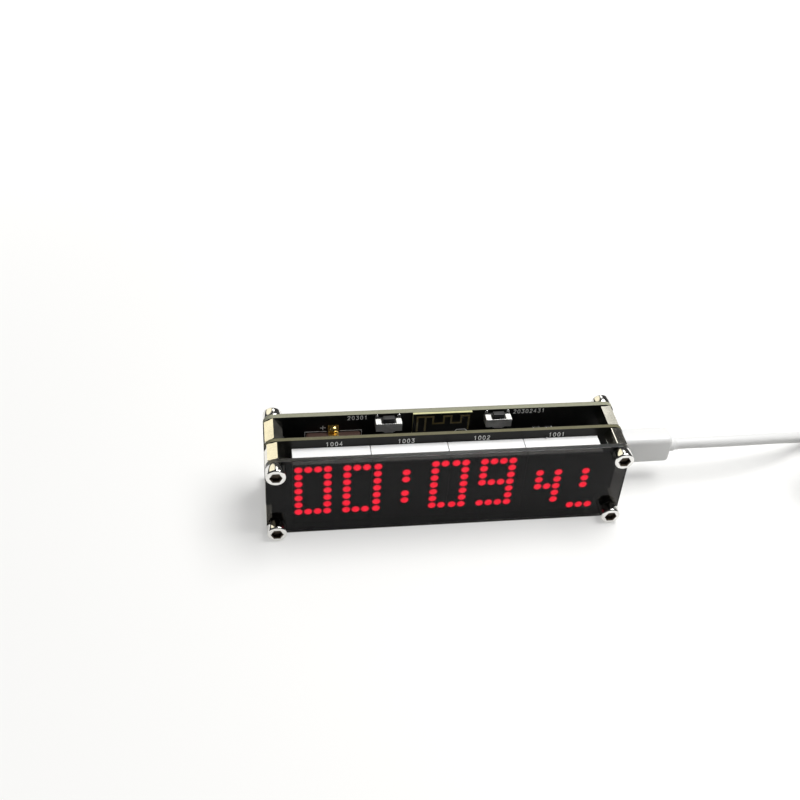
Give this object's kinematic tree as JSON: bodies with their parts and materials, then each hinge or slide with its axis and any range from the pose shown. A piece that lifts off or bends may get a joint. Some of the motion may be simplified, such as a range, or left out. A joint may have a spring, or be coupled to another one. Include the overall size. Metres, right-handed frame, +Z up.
{
  "type": "led dot matrix clock",
  "caption": "Slim table clock: a smoked front panel over square dot matrix modules and two stacked circuit boards on hexagonal standoffs, with two push buttons and a white USB lead.",
  "frame": {"origin": "on the surface that the clock stands on, under the middle of its stack of plates", "axes": "+X along the display to the right as one reads it, +Y from the front panel to the back, +Z up"},
  "size_m": [0.2069, 0.0437, 0.0258],
  "materials": {
    "smoked_acrylic": "dark smoked acrylic, clear and glossy",
    "module_white": "glossy white moulding",
    "module_face": "matt black print on the module face",
    "dot_lit": "red resin, lit from behind",
    "dot_dark": "milky resin, not lit",
    "module_board": "green laminate",
    "circuit_board": "black solder mask on laminate with khaki cut edges",
    "standoff_metal": "nickel plated, cream reflections",
    "screw_steel": "bright plated steel",
    "sheet_metal": "tinned pressed sheet",
    "solder_tin": "tinned wire and solder",
    "gold_plate": "gold plated contacts",
    "masked_copper": "copper under a dark clear solder mask",
    "black_moulding": "black nylon",
    "chip_epoxy": "black moulding compound",
    "holder_brown": "dark brown high temperature nylon",
    "cell_steel": "nickel plated can",
    "capacitor_body": "tan ceramic with tinned ends",
    "lead_white": "white flexible moulding",
    "cable_white": "white flexible jacket",
    "contact_block": "white insulator",
    "tie_strap": "black hook and loop strap"
  },
  "bodies": {
    "root": {"front_panel": "smoked_acrylic", "led_housing_1": "module_white", "led_housing_2": "module_white", "led_housing_3": "module_white", "led_housing_4": "module_white", "led_faces": "module_face", "led_dots_lit": "dot_lit", "led_dots_dark": "dot_dark", "led_base_boards": "module_board", "led_pins": "solder_tin", "led_board": "circuit_board", "main_board": "circuit_board", "front_standoffs": "standoff_metal", "rear_standoffs": "standoff_metal", "front_screws": "screw_steel", "rear_screws": "screw_steel", "reset_housing": "black_moulding", "reset_cover": "sheet_metal", "reset_terminals": "solder_tin", "reset_dome": "gold_plate", "mode_housing": "black_moulding", "mode_cover": "sheet_metal", "mode_terminals": "solder_tin", "mode_dome": "gold_plate", "radio_board": "circuit_board", "radio_antenna": "masked_copper", "radio_shield": "sheet_metal", "radio_chips": "chip_epoxy", "cell_holder": "holder_brown", "cell_clip": "gold_plate", "coin_cell": "cell_steel", "usb_socket_shell": "sheet_metal", "usb_socket_tongue": "black_moulding", "header_pins": "gold_plate", "header_base": "black_moulding", "header_socket": "black_moulding", "driver_chips": "chip_epoxy", "driver_leads": "solder_tin", "usb_chip": "chip_epoxy", "clock_chip": "chip_epoxy", "voltage_regulator": "chip_epoxy", "crystal": "cell_steel", "chip_leads": "solder_tin", "capacitors": "capacitor_body", "resistors": "chip_epoxy", "usb_plug_shell": "sheet_metal", "usb_plug_body": "lead_white", "usb_plug_relief": "lead_white", "cable_run": "cable_white", "cable_coil": "cable_white", "cable_tail": "cable_white", "cable_tie": "tie_strap", "usb_a_relief": "lead_white", "usb_a_body": "lead_white", "usb_a_shell": "sheet_metal", "usb_a_tongue": "contact_block"},
    "reset_button": {"reset_button": "black_moulding"},
    "mode_button": {"mode_button": "black_moulding"}
  },
  "joints": [
    {"name": "reset_press", "type": "slide", "parent": "root", "child": "reset_button", "axis": [0, 0, -1], "range_m": [0, 0.00025], "stiffness_N_per_m": 6400, "deforming": ["reset_dome"]},
    {"name": "mode_press", "type": "slide", "parent": "root", "child": "mode_button", "axis": [0, 0, -1], "range_m": [0, 0.00025], "stiffness_N_per_m": 6400, "deforming": ["mode_dome"]}
  ]
}
